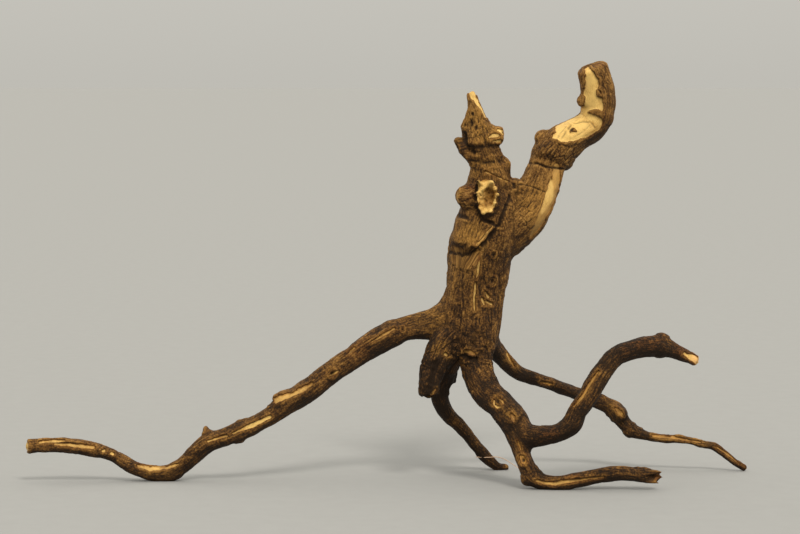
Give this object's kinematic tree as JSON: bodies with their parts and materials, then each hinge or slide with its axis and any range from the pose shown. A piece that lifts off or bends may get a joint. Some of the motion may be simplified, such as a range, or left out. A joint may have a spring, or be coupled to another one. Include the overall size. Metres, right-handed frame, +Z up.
{
  "type": "dry root",
  "caption": "Dry shrub root: an upright gnarled trunk with a spiked crown and a hooked limb, standing on long crooked roots.",
  "frame": {"origin": "on the floor, under the middle of the root's bounding box", "axes": "+X along the longest spread of the roots, +Y away from the viewer, +Z up"},
  "size_m": [0.6057, 0.137, 0.3508],
  "materials": {
    "bark_wood": "rough dry bark with peeled pale patches"
  },
  "bodies": {
    "root": {"dry_root": "bark_wood"}
  },
  "joints": []
}
